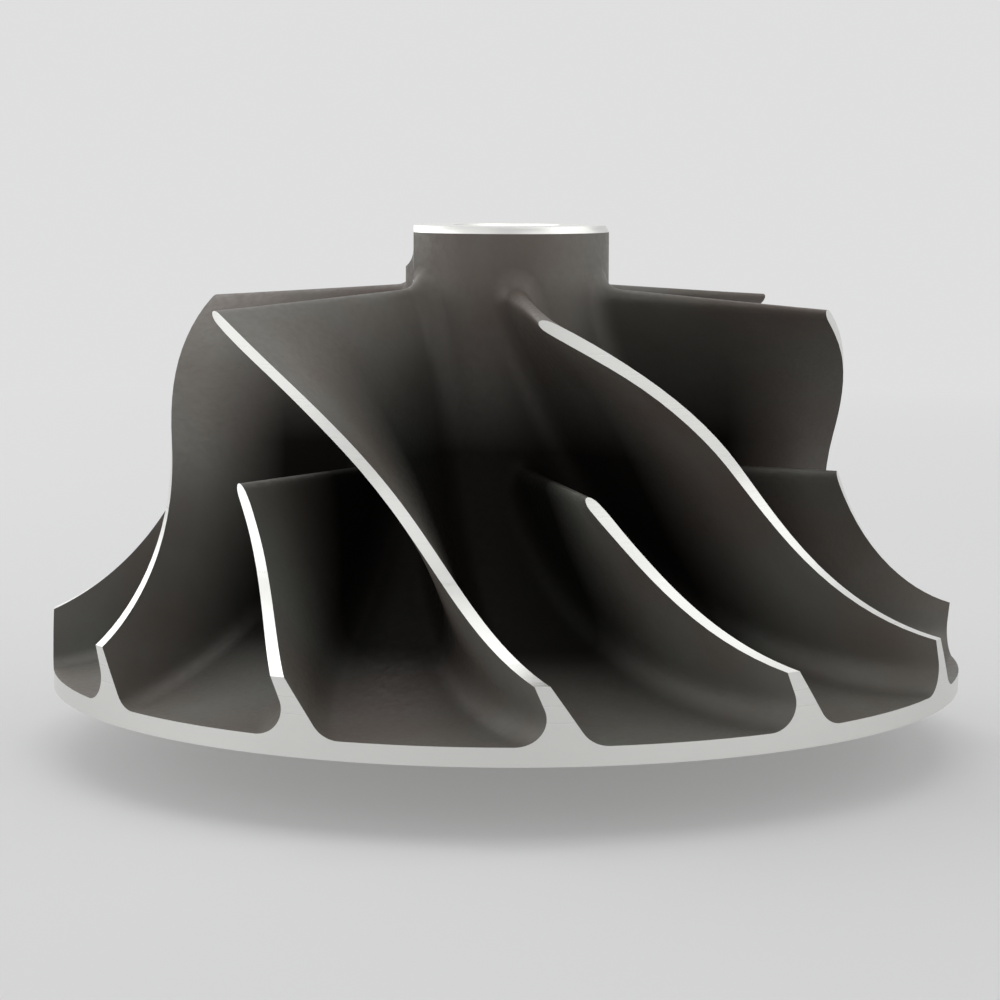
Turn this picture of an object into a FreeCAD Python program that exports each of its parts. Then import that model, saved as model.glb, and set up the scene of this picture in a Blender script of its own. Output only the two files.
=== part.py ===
# A compressor wheel of a small turbocharger: one aluminium casting with six
# full blades and six splitter blades, which lean back against the rotation.
# It is cast with some stock left on and then turned: the shroud contour over
# the blade tips, the rim, the nose face, the back and the bore are machined.
# Frame: Z is the shaft axis and the origin is the centre of the back face.

import FreeCAD, Part
import math
import os
import Sketcher

doc = FreeCAD.newDocument("CompressorWheel")

# ---- sizes, in mm and degrees
sizes = {
    "outerRadius": 30.0,  # at the rim and the trailing edges
    "inletRadius": 22.15,  # over the tips of the leading edges
    "shroudRadius": 12.0,  # arc of the turned contour over the blade tips
    "exitHeight": 3.48,  # blades above the rim at the outer radius
    "rimThickness": 1.15,
    "backLength": 4.3,  # back hub below the underside of the rim
    "noseRadius": 6.7,
    "noseTop": 34.27,
    "noseChamferWidth": 0.25,
    "noseChamferHeight": 0.45,
    "tipDrop": 5.17,  # leading edge at the blade tip, below the nose face
    "rootDrop": 3.99,  # leading edge at the hub, below the nose face
    "hubRadius": 23.9,  # arc of the hub between the nose and the rim
    "boreRadius": 3.175,  # quarter inch shaft
    "boreChamfer": 0.4,
    "backHubRadius": 8.5,
    "backHubLength": 1.2,
    "rimRingWidth": 3.5,  # flat ring under the rim
    "bladePairs": 6,  # full blades, each with a splitter half a pitch further
    "firstBladeAngle": 3.95,  # trailing edge tip of the first blade, from -Y to +X
    "inletAngle": 63.4,  # blade angle at the tip of the leading edge, from the axis
    "exitLean": 29.2,  # lean of the trailing edge, from the axis
    "sweepAngle": 27.5,  # backward sweep of the blades over the disc
    "twistPower": 1.75,  # how fast the twist grows towards the inlet
    "rootLagInlet": -4.5,  # root of the leading edge, round from its tip
    "rootLagExit": 3.7,  # root of the trailing edge, round from its tip
    "splitterTipStart": 0.445,  # share of a full blade's tip where a splitter begins
    "splitterRootStart": 0.315,  # the same along the hub
    "tipThickness": 0.72,
    "rootThickness": 1.45,
    "edgeLength": 0.9,  # rounded leading edge, half an ellipse
    "rootFillet": 1.6,
    "rootClearance": 1.75,  # from a fillet to the next blade, where the roots are closest
    "castStock": 0.6,  # left on by the casting and turned off
    "balanceDepth": 0.6,  # flat milled on the nose to balance the wheel
    "balanceLength": 1.5,  # from the nose face to the start of the run-out
    "balanceRadius": 1.6,  # cutter radius at the run-out
}
sheet = doc.addObject("Spreadsheet::Sheet", "Sizes")
for row, (name, value) in enumerate(sizes.items(), start=1):
    sheet.set("A%d" % row, name)
    sheet.set("B%d" % row, str(value))
    sheet.setAlias("B%d" % row, name)
doc.recompute()


def size(name):
    return float(sheet.get(name))


# ---- levels and arcs that several shapes share
tipTop = size("noseTop") - size("tipDrop")
rootTop = size("noseTop") - size("rootDrop")
rimTop = size("backLength") + size("rimThickness")
exitTop = rimTop + size("exitHeight")
hubOverhang = size("noseRadius") + size("hubRadius") - size("outerRadius")
hubArcTop = rimTop + math.sqrt(size("hubRadius") ** 2 - hubOverhang**2)
hubSweep = math.acos(hubOverhang / size("hubRadius"))
shroudSweep = math.acos(1 - (size("outerRadius") - size("inletRadius")) / size("shroudRadius"))
shroudArcTop = exitTop + size("shroudRadius") * math.sin(shroudSweep)


# ---- sketches
def drawProfile(body, name, corners, arcSide, arcCentre, smoothCorner):
    """A closed profile in the XZ plane. Side n runs from corner n to the next.

    One side is an arc, drawn anticlockwise about its centre and tangent to
    its neighbour at smoothCorner. Upright and level sides are held so.
    """
    sketch = body.newObject("Sketcher::SketchObject", name)
    plane = [item for item in body.Origin.OriginFeatures if item.Role == "XZ_Plane"][0]
    sketch.AttachmentSupport = [(plane, "")]
    sketch.MapMode = "FlatFace"
    points = [FreeCAD.Vector(x, z, 0) for x, z in corners]
    centre = FreeCAD.Vector(*arcCentre, 0)
    for side, start in enumerate(points):
        end = points[(side + 1) % len(points)]
        if side == arcSide:
            angles = [math.atan2(p.y - centre.y, p.x - centre.x) for p in (start, end)]
            circle = Part.Circle(centre, FreeCAD.Vector(0, 0, 1), start.distanceToPoint(centre))
            sketch.addGeometry(Part.ArcOfCircle(circle, *angles), False)
        else:
            sketch.addGeometry(Part.LineSegment(start, end), False)
            if math.isclose(start.x, end.x, abs_tol=1e-6):
                sketch.addConstraint(Sketcher.Constraint("Vertical", side))
            if math.isclose(start.y, end.y, abs_tol=1e-6):
                sketch.addConstraint(Sketcher.Constraint("Horizontal", side))
    for corner in range(len(points)):
        kind = "Tangent" if corner == smoothCorner else "Coincident"
        before = (corner - 1) % len(points)
        sketch.addConstraint(Sketcher.Constraint(kind, before, 2, corner, 1))
    return sketch


def place(sketch, geometry, axis, expression):
    """Binds the start of a side, or a point, along X or Y of the sketch."""
    here = sketch.getPoint(geometry, 1)
    value = here.x if axis == "X" else here.y
    constraint = Sketcher.Constraint("Distance" + axis, -1, 1, geometry, 1, value)
    index = sketch.addConstraint(constraint)
    sketch.setExpression("Constraints[%d]" % index, expression)


def bindRadius(sketch, side, expression):
    radius = sketch.Geometry[side].Radius
    index = sketch.addConstraint(Sketcher.Constraint("Radius", side, radius))
    sketch.setExpression("Constraints[%d]" % index, expression)


def revolve(body, sketch):
    turned = body.newObject("PartDesign::Revolution", body.Name + "Turn")
    turned.Profile = sketch
    turned.ReferenceAxis = (sketch, ["V_Axis"])
    turned.Angle = 360
    body.Tip = turned


# ---- the hub as cast: nose, disc and stock, without blades
hub = doc.addObject("PartDesign::Body", "hubCasting")
hub.Label = "hubCasting"
hubArcEnd = hubArcTop - math.sqrt(size("hubRadius") ** 2 - (hubOverhang - size("castStock")) ** 2)
hubSketch = drawProfile(
    hub,
    "hubProfile",
    [
        (0, size("noseTop") + size("castStock")),
        (size("noseRadius"), size("noseTop") + size("castStock")),
        (size("noseRadius"), hubArcTop),
        (size("outerRadius") + size("castStock"), hubArcEnd),
        (size("outerRadius") + size("castStock"), -size("castStock")),
        (0, -size("castStock")),
    ],
    2,
    (size("noseRadius") + size("hubRadius"), hubArcTop),
    2,
)
place(hubSketch, 0, "Y", "Sizes.noseTop + Sizes.castStock")
hubSketch.addConstraint(Sketcher.Constraint("PointOnObject", 0, 1, -2))
place(hubSketch, 1, "X", "Sizes.noseRadius")
bindRadius(hubSketch, 2, "Sizes.hubRadius")
place(hubSketch, 4, "X", "Sizes.outerRadius + Sizes.castStock")
place(hubSketch, 4, "Y", "-Sizes.castStock")
rimPoint = hubSketch.addGeometry(Part.Point(FreeCAD.Vector(size("outerRadius"), rimTop, 0)), True)
hubSketch.addConstraint(Sketcher.Constraint("PointOnObject", rimPoint, 1, 2))
place(hubSketch, rimPoint, "X", "Sizes.outerRadius")
place(hubSketch, rimPoint, "Y", "Sizes.backLength + Sizes.rimThickness")
revolve(hub, hubSketch)

# ---- what the lathe leaves: everything outside this body is turned off
turned = doc.addObject("PartDesign::Body", "turnedEnvelope")
turned.Label = "turnedEnvelope"
boreMouth = size("boreRadius") + size("boreChamfer")
chamferReach = size("noseChamferHeight") * (1 + size("castStock") / size("noseChamferWidth"))
turnedSketch = drawProfile(
    turned,
    "turnedProfile",
    [
        (boreMouth, 0),
        (size("boreRadius"), size("boreChamfer")),
        (size("boreRadius"), size("noseTop") - size("boreChamfer")),
        (boreMouth, size("noseTop")),
        (size("noseRadius") - size("noseChamferWidth"), size("noseTop")),
        (size("noseRadius") + size("castStock"), size("noseTop") - chamferReach),
        (size("inletRadius"), size("noseTop") - chamferReach),
        (size("inletRadius"), shroudArcTop),
        (size("outerRadius"), exitTop),
        (size("outerRadius"), size("backLength")),
        (size("outerRadius") - size("rimRingWidth"), size("backLength")),
        (size("backHubRadius"), size("backHubLength")),
        (size("backHubRadius"), 0),
    ],
    7,
    (size("inletRadius") + size("shroudRadius"), shroudArcTop),
    7,
)
turnedSketch.addConstraint(Sketcher.Constraint("PointOnObject", 0, 1, -1))
place(turnedSketch, 0, "X", "Sizes.boreRadius + Sizes.boreChamfer")
place(turnedSketch, 1, "X", "Sizes.boreRadius")
place(turnedSketch, 1, "Y", "Sizes.boreChamfer")
place(turnedSketch, 2, "Y", "Sizes.noseTop - Sizes.boreChamfer")
place(turnedSketch, 3, "X", "Sizes.boreRadius + Sizes.boreChamfer")
place(turnedSketch, 3, "Y", "Sizes.noseTop")
place(turnedSketch, 4, "X", "Sizes.noseRadius - Sizes.noseChamferWidth")
place(turnedSketch, 5, "X", "Sizes.noseRadius + Sizes.castStock")
place(
    turnedSketch,
    5,
    "Y",
    "Sizes.noseTop - Sizes.noseChamferHeight * (1 + Sizes.castStock / Sizes.noseChamferWidth)",
)
place(turnedSketch, 6, "X", "Sizes.inletRadius")
bindRadius(turnedSketch, 7, "Sizes.shroudRadius")
place(turnedSketch, 8, "X", "Sizes.outerRadius")
place(turnedSketch, 8, "Y", "Sizes.backLength + Sizes.rimThickness + Sizes.exitHeight")
place(turnedSketch, 9, "Y", "Sizes.backLength")
place(turnedSketch, 10, "X", "Sizes.outerRadius - Sizes.rimRingWidth")
place(turnedSketch, 11, "X", "Sizes.backHubRadius")
place(turnedSketch, 11, "Y", "Sizes.backHubLength")
revolve(turned, turnedSketch)

# ---- the balance cut: the path of a round cutter along Y, on the -X side of the nose
balance = doc.addObject("PartDesign::Body", "balanceCutter")
balance.Label = "balanceCutter"
flatX = size("balanceDepth") - size("noseRadius")
clearX = -size("noseRadius") - size("castStock")
runOutTop = size("noseTop") - size("balanceLength")
cutterX = flatX - size("balanceRadius")
clearDrop = math.sqrt(size("balanceRadius") ** 2 - (clearX - cutterX) ** 2)
balanceSketch = drawProfile(
    balance,
    "balanceProfile",
    [
        (clearX, runOutTop - clearDrop),
        (flatX, runOutTop),
        (flatX, size("noseTop") + size("castStock")),
        (clearX, size("noseTop") + size("castStock")),
    ],
    0,
    (cutterX, runOutTop),
    1,
)
place(balanceSketch, 0, "X", "-Sizes.noseRadius - Sizes.castStock")
bindRadius(balanceSketch, 0, "Sizes.balanceRadius")
place(balanceSketch, 1, "X", "Sizes.balanceDepth - Sizes.noseRadius")
place(balanceSketch, 1, "Y", "Sizes.noseTop - Sizes.balanceLength")
place(balanceSketch, 2, "Y", "Sizes.noseTop + Sizes.castStock")
balancePath = balance.newObject("PartDesign::Pad", "balancePath")
balancePath.Profile = balanceSketch
balancePath.SideType = "Symmetric"
balancePath.setExpression("Length", "2 * Sizes.noseRadius")
balance.Tip = balancePath
doc.recompute()


# ---- blades
edgeParts = 4  # stations round half of a leading edge
sideParts = 9  # stations along a side, from there to the trailing edge


def onContour(radius, top, arcTop, arcRadius, sweep, share):
    """Radius and height on a contour: a straight drop, then an arc outwards."""
    distance = share * (top - arcTop + arcRadius * sweep)
    if distance < top - arcTop:
        return radius, top - distance
    turn = (distance - top + arcTop) / arcRadius
    return radius + arcRadius * (1 - math.cos(turn)), arcTop - arcRadius * math.sin(turn)


def wrapAngle(radius, height):
    """How far a tip point lies behind the tip of the trailing edge, in radians."""
    inletRate = math.tan(math.radians(size("inletAngle"))) / size("inletRadius")
    exitRate = math.tan(math.radians(size("exitLean"))) / size("outerRadius")
    sweepRate = math.tan(math.radians(size("sweepAngle"))) / size("outerRadius")
    span = tipTop - exitTop
    rise = max((height - exitTop) / span, 0)
    power = size("twistPower") + 1
    twist = (inletRate - exitRate) * span * rise**power / power
    return sweepRate * (size("outerRadius") - radius) + exitRate * (height - exitTop) + twist


def camberPoint(share, rise):
    """A point of the blade's middle surface: share 0 to 1 runs from the leading
    to the trailing edge, and rise 0 to 1 from the hub to the tip."""
    tip = onContour(
        size("inletRadius"), tipTop, shroudArcTop, size("shroudRadius"), shroudSweep, share
    )
    root = onContour(size("noseRadius"), rootTop, hubArcTop, size("hubRadius"), hubSweep, share)
    radius = root[0] + rise * (tip[0] - root[0])
    height = root[1] + rise * (tip[1] - root[1])
    lag = size("rootLagInlet") + share * (size("rootLagExit") - size("rootLagInlet"))
    angle = math.radians((1 - rise) * lag) - wrapAngle(*tip)
    return FreeCAD.Vector(radius * math.sin(angle), -radius * math.cos(angle), height)


def bladeSection(rise, start, end):
    """Points round a blade at one level: one side, the rounded leading edge, the other side."""
    half = (size("rootThickness") + rise * (size("tipThickness") - size("rootThickness"))) / 2
    step = 0.002
    pace = camberPoint(start + step, rise).distanceToPoint(camberPoint(start, rise)) / step
    edgeShare = size("edgeLength") / pace
    stations = []
    for part in range(edgeParts):
        angle = math.pi / 2 * part / edgeParts
        stations.append((start + edgeShare * (1 - math.cos(angle)), half * math.sin(angle)))
    for part in range(sideParts + 1):
        stations.append((start + edgeShare + (end - start - edgeShare) * part / sideParts, half))
    sides = []
    for way in (1, -1):
        side = []
        for share, offset in stations:
            along = camberPoint(share + step, rise) - camberPoint(share - step, rise)
            across = camberPoint(share, rise + step) - camberPoint(share, rise - step)
            normal = along.cross(across).normalize()
            side.append(camberPoint(share, rise) + normal * way * offset)
        sides.append(side)
    return sides[0][::-1] + sides[1][1:]


def bladeCasting(rootStart, tipStart):
    """A blade as cast, from inside the hub to beyond the turned contour."""
    below, above, beyond = -0.25, 1.06, 1.04
    sections = []
    for rise in (below, above):
        sections.append(bladeSection(rise, rootStart + rise * (tipStart - rootStart), beyond))
    spacing = [0.0]
    middle = bladeSection(0.5, (rootStart + tipStart) / 2, beyond)
    for here, following in zip(middle, middle[1:]):
        spacing.append(spacing[-1] + here.distanceToPoint(following))
    edgePlace = spacing[len(spacing) // 2]
    halves = []
    ends = []
    for points in sections:
        outline = Part.BSplineCurve()
        outline.interpolate(Points=points, Parameters=spacing)
        halves.append((outline.toShape(0, edgePlace), outline.toShape(edgePlace, spacing[-1])))
        ends.append(Part.makeLine(points[-1], points[0]))
    faces = [Part.makeRuledSurface(low, high) for low, high in zip(*halves)]
    faces += [Part.makeRuledSurface(*level) for level in halves]
    faces.append(Part.makeRuledSurface(*ends))
    shell = Part.Shell(faces)
    shell.sewShape()
    return Part.Solid(shell)


def rootEdges(shape):
    """The edges where a blade meets the hub."""
    found = []
    for edge in shape.Edges:
        surfaces = [face.Surface for face in shape.ancestorsOfType(edge, Part.Face)]
        onBlade = any(isinstance(surface, Part.BSplineSurface) for surface in surfaces)
        onDisc = any(isinstance(surface, Part.Toroid) for surface in surfaces)
        onNose = any(
            isinstance(surface, Part.Cylinder) and surface.Radius < size("inletRadius")
            for surface in surfaces
        )
        if onBlade and (onDisc or onNose):
            found.append(edge)
    return found


# ---- the casting: hub, blades and the fillets at their roots
pitch = 360 / size("bladePairs")
splitterStarts = size("splitterRootStart"), size("splitterTipStart")
bladeTypes = []
for name, starts in (("fullBlade", (0, 0)), ("splitterBlade", splitterStarts)):
    blade = doc.addObject("Part::Feature", name)
    blade.Label = name
    blade.Shape = bladeCasting(*starts)
    bladeTypes.append(blade)

axis = FreeCAD.Vector(0, 0, 1)
blades = []
for pair in range(round(size("bladePairs"))):
    for half, blade in enumerate(bladeTypes):
        copy = blade.Shape.copy()
        copy.rotate(FreeCAD.Vector(), axis, size("firstBladeAngle") + (pair + half / 2) * pitch)
        blades.append(copy)
stockRadius = size("outerRadius") + size("castStock") / 2
stockLength = size("noseTop") + 2 * size("castStock")
stock = Part.makeCylinder(stockRadius, stockLength, FreeCAD.Vector(0, 0, -size("castStock")))
bladed = hub.Shape.multiFuse(blades).common(stock)

# the roots are closest where a splitter begins: its fillet has to fit in there
closestRadius = onContour(
    size("noseRadius"), rootTop, hubArcTop, size("hubRadius"), hubSweep, size("splitterRootStart")
)[0]
rootGap = math.radians(pitch / 2) * closestRadius - size("rootThickness")
filletRadius = min(size("rootFillet"), rootGap - size("rootClearance"))
casting = doc.addObject("Part::Feature", "wheelCasting")
casting.Label = "wheelCasting"
casting.Shape = bladed.makeFillet(filletRadius, rootEdges(bladed))

# ---- turned and balanced
machined = doc.addObject("Part::Common", "turnedWheel")
machined.Base = casting
machined.Tool = turned
wheel = doc.addObject("Part::Cut", "compressorWheel")
wheel.Label = "compressor_wheel"
wheel.Base = machined
wheel.Tool = balance
doc.recompute()

for item in doc.Objects:
    if "Invalid" in item.State or "Error" in item.State:
        raise RuntimeError("%s failed: %s" % (item.Name, item.State))
for item in (hub, turned, balance, *bladeTypes, casting, machined, wheel):
    if item.Shape.isNull() or not item.Shape.isValid():
        raise RuntimeError("%s has no valid shape" % item.Name)
if len(wheel.Shape.Solids) != 1:
    raise RuntimeError("the wheel is not one solid")

os.makedirs("parts", exist_ok=True)
wheel.Shape.exportStep("parts/%s.step" % wheel.Label)
print("%s: %.0f mm3, %d faces" % (wheel.Label, wheel.Shape.Volume, len(wheel.Shape.Faces)))
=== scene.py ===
import math

import bpy
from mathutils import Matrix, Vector


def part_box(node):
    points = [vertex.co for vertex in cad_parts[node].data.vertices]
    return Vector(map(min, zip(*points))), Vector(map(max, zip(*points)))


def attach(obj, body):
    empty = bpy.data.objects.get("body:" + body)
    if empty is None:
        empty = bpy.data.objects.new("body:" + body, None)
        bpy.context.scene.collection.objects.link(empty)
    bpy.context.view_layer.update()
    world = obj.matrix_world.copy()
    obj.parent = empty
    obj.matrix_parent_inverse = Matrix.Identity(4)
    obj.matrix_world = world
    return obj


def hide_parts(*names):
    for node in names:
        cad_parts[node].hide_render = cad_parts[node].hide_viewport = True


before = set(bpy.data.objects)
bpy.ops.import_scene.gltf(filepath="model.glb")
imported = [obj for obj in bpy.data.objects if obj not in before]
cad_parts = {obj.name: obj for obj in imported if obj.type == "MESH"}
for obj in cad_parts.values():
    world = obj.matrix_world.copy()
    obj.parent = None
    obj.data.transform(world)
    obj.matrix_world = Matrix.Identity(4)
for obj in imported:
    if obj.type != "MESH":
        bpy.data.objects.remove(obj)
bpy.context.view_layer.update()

wheelNode = "compressor_wheel"
lowCorner, highCorner = (Vector(corner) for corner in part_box(wheelNode))
outerRadius = (highCorner.x - lowCorner.x) / 2
noseTop = highCorner.z
white = (1, 1, 1, 1)
noiseSpan = (0.3, 0.7)  # nearly all of a noise texture's values lie in it


# the turned contour over the blade tips: a straight, and below arcTop an arc outwards
contour = {
    "inletRadius": 0.02215,
    "shroudRadius": 0.012,
    "exitTop": 0.00893,
}
arcRun = outerRadius - contour["inletRadius"]
arcRise = math.sqrt(contour["shroudRadius"] ** 2 - (contour["shroudRadius"] - arcRun) ** 2)
contour["arcCentre"] = contour["inletRadius"] + contour["shroudRadius"]  # distance from the axis
contour["arcTop"] = contour["exitTop"] + arcRise


# node helpers
def newMaterial(name):
    material = bpy.data.materials.new(name)
    material.use_nodes = True
    tree = material.node_tree
    return material, tree, tree.nodes["Principled BSDF"]


def addNode(tree, kind, settings=None, inputs=None):
    node = tree.nodes.new(kind)
    for key, value in (settings or {}).items():
        setattr(node, key, value)
    for key, value in (inputs or {}).items():
        if isinstance(value, bpy.types.NodeSocket):
            tree.links.new(value, node.inputs[key])
        else:
            node.inputs[key].default_value = value
    return node


def addNoise(tree, place, scale, detail):
    node = addNode(tree, "ShaderNodeTexNoise", inputs={"Vector": place, "Scale": scale, "Detail": detail})
    return node.outputs["Fac"]


def addBump(tree, shader, pattern, strength, height):
    bump = addNode(tree, "ShaderNodeBump", inputs={
        "Height": pattern, "Strength": strength, "Distance": height})
    tree.links.new(bump.outputs["Normal"], shader.inputs["Normal"])


def mapRange(tree, value, fromLow, fromHigh, toLow, toHigh):
    node = addNode(tree, "ShaderNodeMapRange", inputs={
        "Value": value, "From Min": fromLow, "From Max": fromHigh, "To Min": toLow, "To Max": toHigh})
    return node.outputs["Result"]


def calculate(tree, operation, first, second=0.0):
    node = addNode(tree, "ShaderNodeMath", {"operation": operation}, {0: first, 1: second})
    return node.outputs["Value"]


def addSquares(tree, first, second):
    firstSquare = calculate(tree, "POWER", first, 2.0)
    secondSquare = calculate(tree, "POWER", second, 2.0)
    return calculate(tree, "ADD", firstSquare, secondSquare)


def mixColour(tree, factor, first, second):
    node = addNode(tree, "ShaderNodeMix", {"data_type": "RGBA"}, {
        0: factor, 6: (*first, 1), 7: (*second, 1)})
    return node.outputs[2]


def blendShaders(tree, factor, first, second, output):
    blend = addNode(tree, "ShaderNodeMixShader", inputs={
        0: factor, 1: first.outputs[0], 2: second.outputs[0]})
    tree.links.new(blend.outputs[0], tree.nodes[output].inputs["Surface"])


# cast aluminium: dark, satin, finely grained, with painted shade darkening it deep in the passages
castFinish = {
    "dark": (0.128, 0.102, 0.088),
    "light": (0.158, 0.160, 0.142),
    "metallic": 0.2,
    "specular": 0.3,
    "roughness": (0.42, 0.58),
    "patchScale": 90.0,
    "patchDetail": 3.0,
    "deepest": 0.08,  # share of the colour and gloss that is left deep in the passages, where painted shade stands in for the shade between the blades
    "depth": (0.002, 0.0075),  # the darkening sets in over these depths below the blade tips,
    "level": (0.031, 0.020),  # these heights
    "ring": (0.027, 0.019),  # and these distances from the axis
    "grainScale": 2600.0,
    "grainDetail": 2.0,
    "grainHeight": 0.00003,
    "grainStrength": 0.35,
}


def distanceFromAxis(tree, parts):
    return calculate(tree, "SQRT", addSquares(tree, parts.outputs["X"], parts.outputs["Y"]))


# painted shade mask: 0 at the blade tips and on the nose, 1 deep inside the passages where shade falls
# between the blades
def paintedShadeMask(tree, place, finish):
    parts = addNode(tree, "ShaderNodeSeparateXYZ", inputs={0: place})
    radius = distanceFromAxis(tree, parts)
    outward = calculate(tree, "SUBTRACT", contour["arcCentre"], radius)
    down = calculate(tree, "SUBTRACT", contour["arcTop"], parts.outputs["Z"])
    below = calculate(tree, "MAXIMUM", down, 0.0)
    fromCentre = calculate(tree, "SQRT", addSquares(tree, outward, below))
    depth = calculate(tree, "SUBTRACT", fromCentre, contour["shroudRadius"])
    inside = mapRange(tree, depth, *finish["depth"], 0, 1)
    low = mapRange(tree, parts.outputs["Z"], *finish["level"], 0, 1)
    near = mapRange(tree, radius, *finish["ring"], 0, 1)
    return calculate(tree, "MULTIPLY", calculate(tree, "MULTIPLY", inside, low), near)


def makeCast(finish):
    material, tree, shader = newMaterial("castAluminium")
    place = addNode(tree, "ShaderNodeTexCoord").outputs["Object"]
    patches = addNoise(tree, place, finish["patchScale"], finish["patchDetail"])
    grain = addNoise(tree, place, finish["grainScale"], finish["grainDetail"])
    skin = mixColour(tree, mapRange(tree, patches, *noiseSpan, 0, 1), finish["dark"], finish["light"])
    # painted shade: the colour and gloss are darkened deep in the passages, standing in for the shade
    # between the blades
    shade = mapRange(tree, paintedShadeMask(tree, place, finish), 0, 1, 1, finish["deepest"])
    paintedShadeColour = addNode(tree, "ShaderNodeVectorMath", {"operation": "SCALE"}, {0: skin, 3: shade})
    specular = calculate(tree, "MULTIPLY", shade, finish["specular"])
    roughness = mapRange(tree, grain, *noiseSpan, *finish["roughness"])
    tree.links.new(paintedShadeColour.outputs["Vector"], shader.inputs["Base Color"])
    tree.links.new(specular, shader.inputs["Specular IOR Level"])
    tree.links.new(roughness, shader.inputs["Roughness"])
    shader.inputs["Metallic"].default_value = finish["metallic"]
    addBump(tree, shader, grain, finish["grainStrength"], finish["grainHeight"])
    return material


# turned aluminium: bright, with fine rings about the shaft
turnedFinish = {
    "colour": (0.72, 0.72, 0.695),
    "metallic": 1.0,
    "roughness": (0.26, 0.42),
    "ringScale": 9000.0,
    "ringDetail": 1.0,
    "ringHeight": 0.000009,
    "ringStrength": 0.3,
}


def makeTurned(finish):
    material, tree, shader = newMaterial("turnedAluminium")
    place = addNode(tree, "ShaderNodeTexCoord").outputs["Object"]
    parts = addNode(tree, "ShaderNodeSeparateXYZ", inputs={0: place})
    feed = calculate(tree, "ADD", distanceFromAxis(tree, parts), parts.outputs["Z"])
    line = addNode(tree, "ShaderNodeCombineXYZ", inputs={"X": feed})
    rings = addNoise(tree, line.outputs["Vector"], finish["ringScale"], finish["ringDetail"])
    roughness = mapRange(tree, rings, *noiseSpan, *finish["roughness"])
    tree.links.new(roughness, shader.inputs["Roughness"])
    shader.inputs["Base Color"].default_value = (*finish["colour"], 1)
    shader.inputs["Metallic"].default_value = finish["metallic"]
    addBump(tree, shader, rings, finish["ringStrength"], finish["ringHeight"])
    return material


castMetal = makeCast(castFinish)
turnedMetal = makeTurned(turnedFinish)
print("materials made")


# the wheel: a merged copy of the solid, with its turned faces picked out
wheelShape = {
    "mergeGap": 0.000001,
    "sharpAngle": 30.0,  # degrees
    "turnedGap": 0.00003,  # a turned face lies this near to its contour
    "rimUnderside": 0.0043,
    "boreMouth": 0.0036,
    "flatX": -0.0061,  # the balance cut's flat
    "noseChamfer": 0.00045,
}


def nearContour(corner, gap):
    outward = contour["arcCentre"] - math.hypot(corner.x, corner.y)
    below = max(contour["arcTop"] - corner.z, 0)
    return abs(math.hypot(outward, below) - contour["shroudRadius"]) < gap


def wasTurned(shape, corners):
    gap = shape["turnedGap"]
    radii = [math.hypot(corner.x, corner.y) for corner in corners]
    onRim = min(radii) > outerRadius - gap
    onNose = min(corner.z for corner in corners) > noseTop - shape["noseChamfer"] - gap
    onBack = max(corner.z for corner in corners) < shape["rimUnderside"] + gap
    inBore = max(radii) < shape["boreMouth"]
    onFlat = all(abs(corner.x - shape["flatX"]) < gap for corner in corners)
    onTips = all(nearContour(corner, gap) for corner in corners)
    return onRim or onNose or onBack or inBore or onFlat or onTips


def makeWheel(shape):
    bpy.ops.object.select_all(action="DESELECT")
    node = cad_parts[wheelNode]
    node.select_set(True)
    bpy.context.view_layer.objects.active = node
    bpy.ops.object.duplicate()
    wheel = bpy.context.view_layer.objects.active
    mesh = wheel.data
    wheel.name = "turnedWheel"
    mesh.name = "turnedWheel"
    mesh.materials.clear()
    mesh.materials.append(castMetal)
    mesh.materials.append(turnedMetal)
    bpy.ops.mesh.customdata_custom_splitnormals_clear()
    bpy.ops.object.mode_set(mode="EDIT")
    bpy.ops.mesh.select_all(action="SELECT")
    bpy.ops.mesh.remove_doubles(threshold=shape["mergeGap"])
    bpy.ops.object.mode_set(mode="OBJECT")
    for face in mesh.polygons:
        corners = [mesh.vertices[index].co for index in face.vertices]
        face.material_index = int(wasTurned(shape, corners))
    bpy.ops.object.shade_smooth_by_angle(angle=math.radians(shape["sharpAngle"]), keep_sharp_edges=False)
    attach(wheel, "root")
    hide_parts(wheelNode)
    return wheel


wheel = makeWheel(wheelShape)
print("wheel made:", len(wheel.data.polygons), "faces")


# the table top and the light
studio = {
    "backColour": (0.74, 0.74, 0.745),
    "floorColour": (0.60, 0.60, 0.605),
    "floorRoughness": 0.9,
    "floorGlow": 0.17,  # keeps the shadow pale
    "floorSize": 6.0,
    "fade": (0.12, 0.30),  # distances over which the floor turns into the backdrop
    "worldLight": 0.2,
    "lampDistance": 0.5,
    "lampSize": 0.5,
    "lamps": {  # direction from the front towards the right, height, both in degrees, and power
        "top": (0, 90, 0.45),
        "backTop": (180, 60, 0.35),
        "rightTop": (90, 60, 0.25),
        "right": (90, 25, 0.5),
        "frontRight": (45, 12, 0.4),
        "backLeft": (225, 35, 0.8),
        "leftLow": (270, 8, 0.8),
        "frontLeft": (315, 20, 0.25),
    },
}


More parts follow.
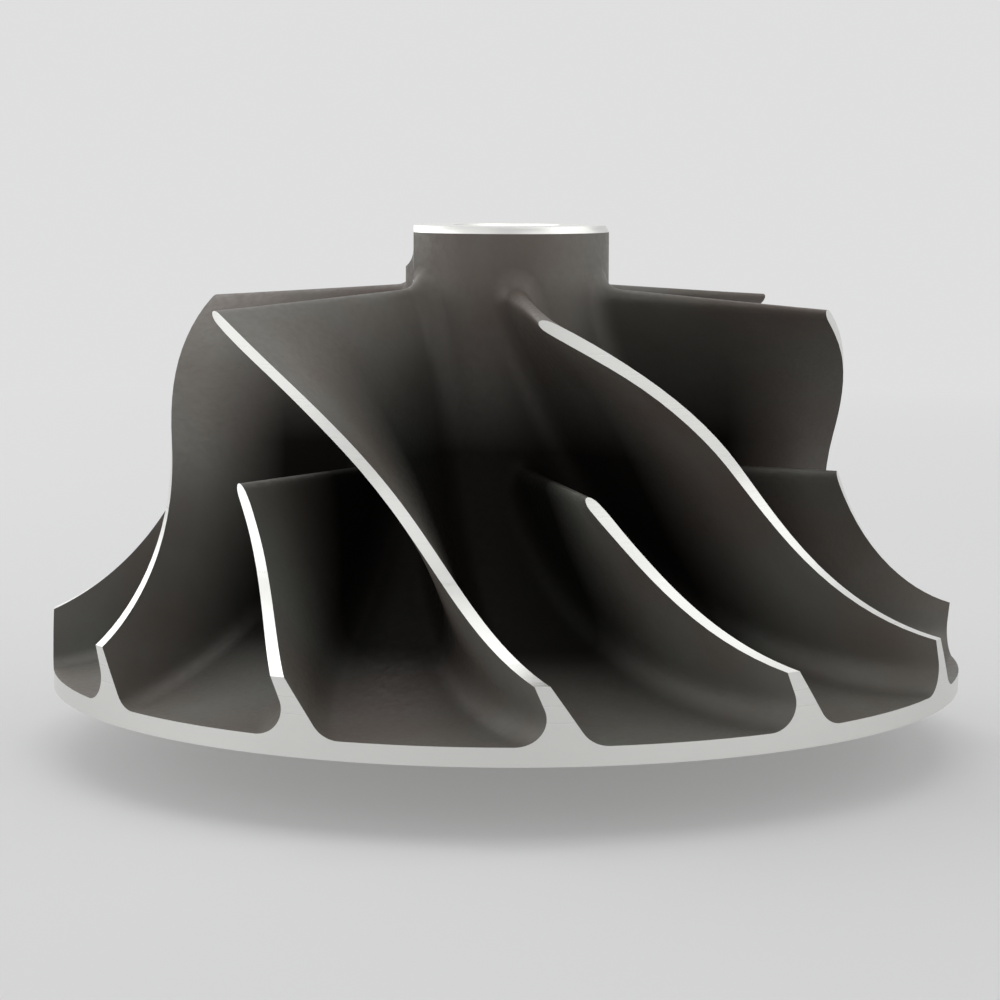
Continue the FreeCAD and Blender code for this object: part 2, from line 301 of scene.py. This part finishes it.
def makeFloor(look):
    bpy.ops.mesh.primitive_plane_add(size=look["floorSize"], location=(0, 0, 0))
    floor = bpy.context.active_object
    floor.name = "tableTop"
    material, tree, shader = newMaterial("tableTop")
    place = addNode(tree, "ShaderNodeTexCoord").outputs["Object"]
    away = addNode(tree, "ShaderNodeVectorMath", {"operation": "LENGTH"}, {0: place}).outputs["Value"]
    fade = mapRange(tree, away, *look["fade"], 0, 1)
    shader.inputs["Base Color"].default_value = (*look["floorColour"], 1)
    shader.inputs["Roughness"].default_value = look["floorRoughness"]
    shader.inputs["Emission Color"].default_value = white
    shader.inputs["Emission Strength"].default_value = look["floorGlow"]
    glow = addNode(tree, "ShaderNodeEmission", inputs={"Color": (*look["backColour"], 1)})
    blendShaders(tree, fade, shader, glow, "Material Output")
    floor.data.materials.append(material)


def makeWorld(look):
    world = bpy.data.worlds.new("studio")
    world.use_nodes = True
    bpy.context.scene.world = world
    tree = world.node_tree
    background = tree.nodes["Background"]
    background.inputs["Color"].default_value = white
    background.inputs["Strength"].default_value = look["worldLight"]
    backdrop = addNode(tree, "ShaderNodeBackground", inputs={"Color": (*look["backColour"], 1)})
    rays = addNode(tree, "ShaderNodeLightPath").outputs
    seen = calculate(tree, "MAXIMUM", rays["Is Camera Ray"], rays["Is Glossy Ray"])
    shown = calculate(tree, "MAXIMUM", seen, rays["Is Transmission Ray"])
    blendShaders(tree, shown, background, backdrop, "World Output")


def makeLamp(look, name, direction, height, power):
    around, up = math.radians(direction), math.radians(height)
    away = Vector((math.cos(up) * math.sin(around), -math.cos(up) * math.cos(around), math.sin(up)))
    target = Vector((0, 0, noseTop / 2))
    bpy.ops.object.light_add(type="AREA", location=target + away * look["lampDistance"])
    lamp = bpy.context.active_object
    lamp.name = name + "Lamp"
    lamp.data.size = look["lampSize"]
    lamp.data.energy = power
    lamp.rotation_euler = away.to_track_quat("Z", "Y").to_euler()


makeFloor(studio)
makeWorld(studio)
for name, settings in studio["lamps"].items():
    makeLamp(studio, name, *settings)
print("studio made")


# the camera stands a little above the nose and looks slightly down
cameraSetup = {
    "distance": 0.18739,
    "height": 0.03837,
    "lookDown": 6.81,  # this and the next two in degrees
    "tilt": -0.183,
    "turn": 0.154,
    "lens": 101.89,
    "sensorWidth": 36,
    "clipStart": 0.01,
}


def makeCamera(setup):
    bpy.ops.object.camera_add(location=(0, -setup["distance"], setup["height"]))
    camera = bpy.context.active_object
    camera.data.lens = setup["lens"]
    camera.data.sensor_width = setup["sensorWidth"]
    camera.data.clip_start = setup["clipStart"]
    camera.rotation_euler = (
        math.radians(90 - setup["lookDown"]), math.radians(setup["tilt"]), math.radians(setup["turn"]))
    bpy.context.scene.camera = camera


makeCamera(cameraSetup)
bpy.context.scene.view_settings.view_transform = "Standard"
print("camera made")
